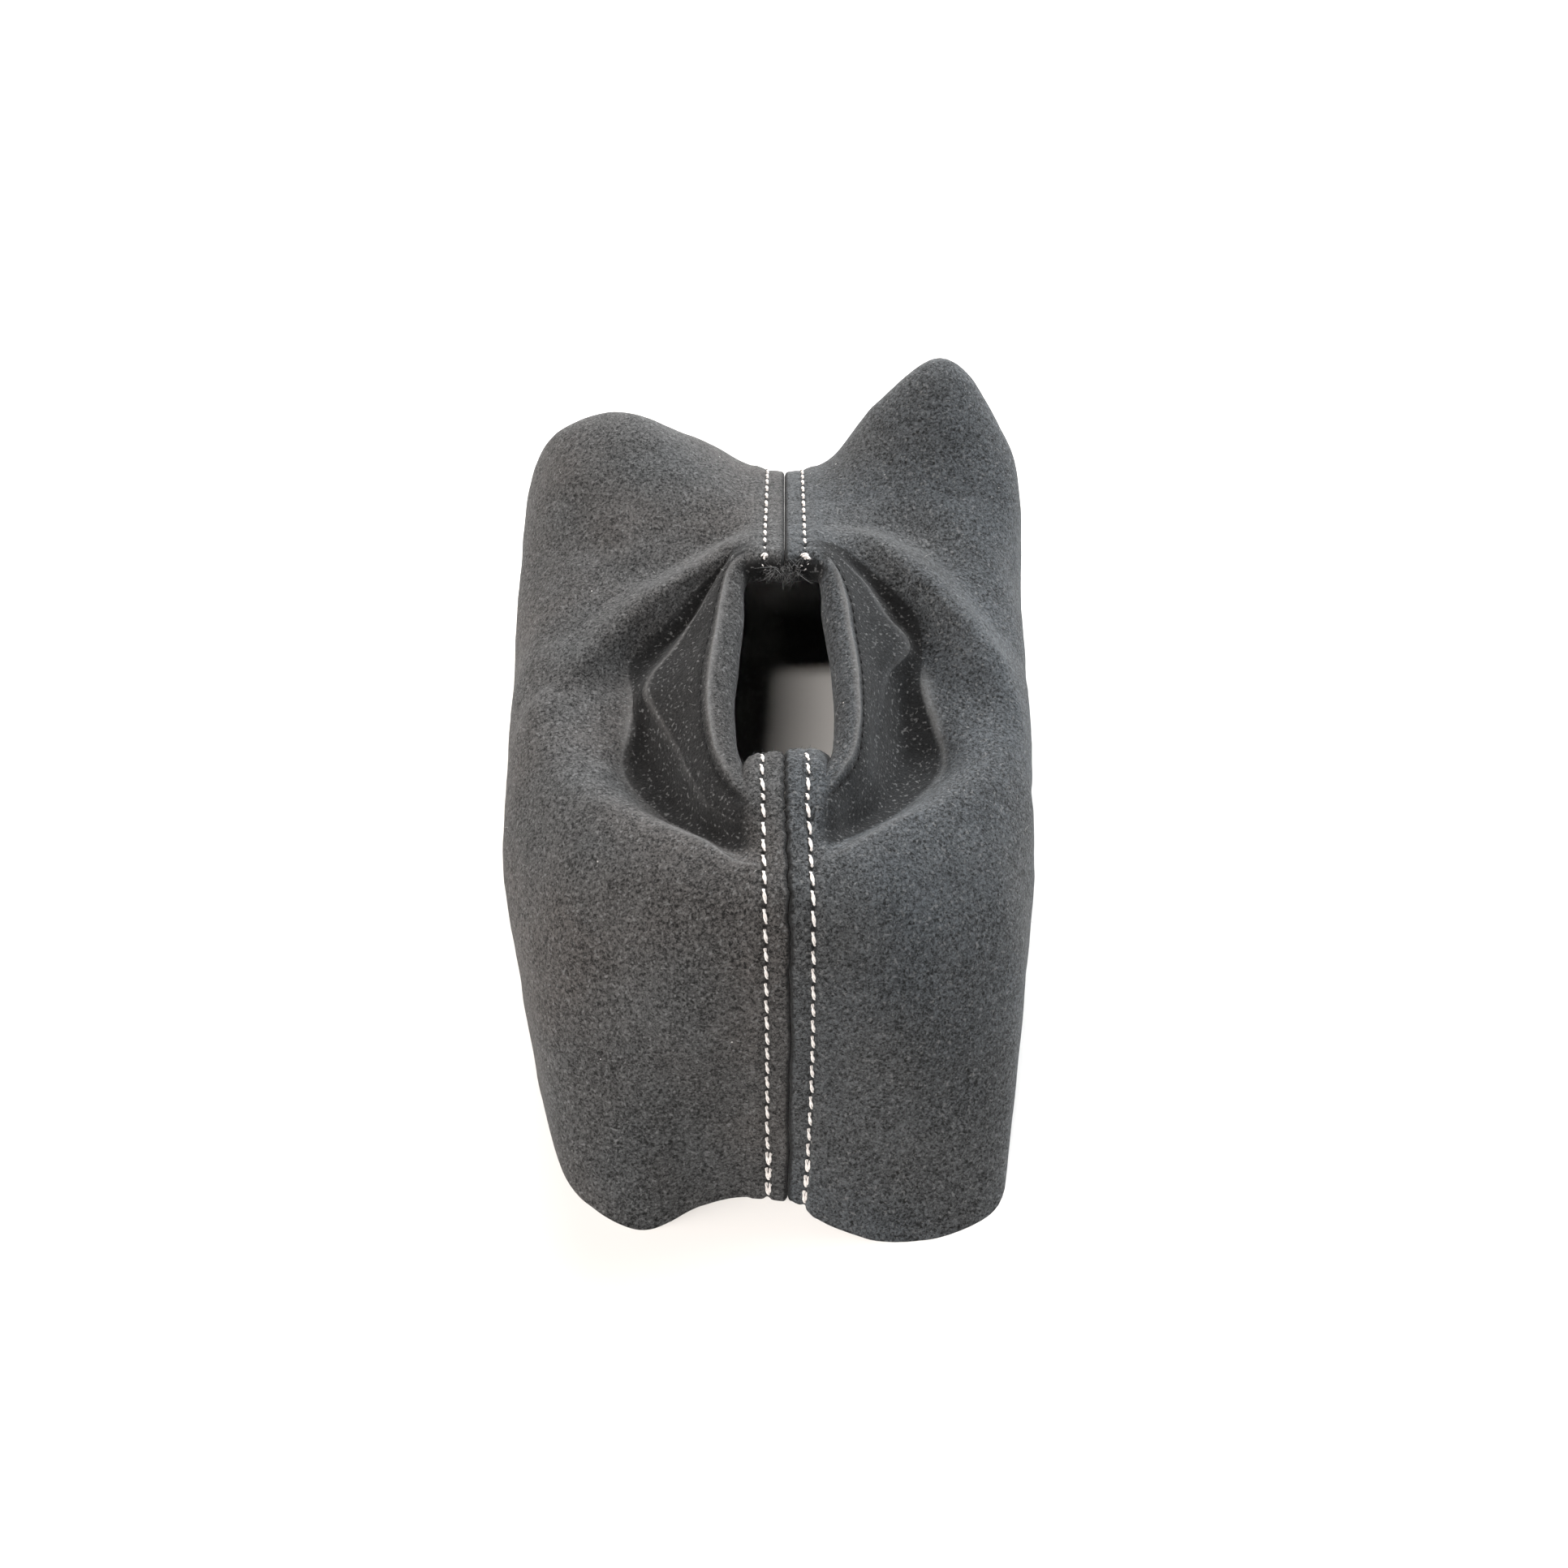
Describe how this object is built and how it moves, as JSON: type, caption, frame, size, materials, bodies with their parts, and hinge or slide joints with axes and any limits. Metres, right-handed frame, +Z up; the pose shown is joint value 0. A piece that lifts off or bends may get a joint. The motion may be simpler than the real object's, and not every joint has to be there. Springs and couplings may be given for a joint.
{
  "type": "lever gaiter",
  "caption": "Soft suede lever gaiter: two panels joined by topstitched front and rear seams, with a rolled neck opening and an open lower edge.",
  "frame": {"origin": "middle of the box round the standing skirt, on the plane of its raw lower edge", "axes": "+Z up, from the open lower edge to the neck; +Y from the front seam to the rear seam, along the skirt; +X to the right panel"},
  "size_m": [0.1376, 0.2285, 0.0768],
  "materials": {
    "suede": "napped suede, matt",
    "white_thread": "bonded polyester thread, off-white",
    "black_thread": "bonded polyester thread, black"
  },
  "bodies": {
    "root": {"left_panel": "suede", "right_panel": "suede", "front_left_topstitch": "white_thread", "front_right_topstitch": "white_thread", "rear_left_topstitch": "white_thread", "rear_right_topstitch": "white_thread", "front_left_bobbin_thread": "white_thread", "front_right_bobbin_thread": "white_thread", "rear_left_bobbin_thread": "white_thread", "rear_right_bobbin_thread": "white_thread", "front_closing_needle_thread": "black_thread", "front_closing_bobbin_thread": "black_thread", "rear_closing_needle_thread": "black_thread", "rear_closing_bobbin_thread": "black_thread", "left_hem_needle_thread": "black_thread", "left_hem_bobbin_thread": "black_thread", "right_hem_needle_thread": "black_thread", "right_hem_bobbin_thread": "black_thread"}
  },
  "joints": []
}
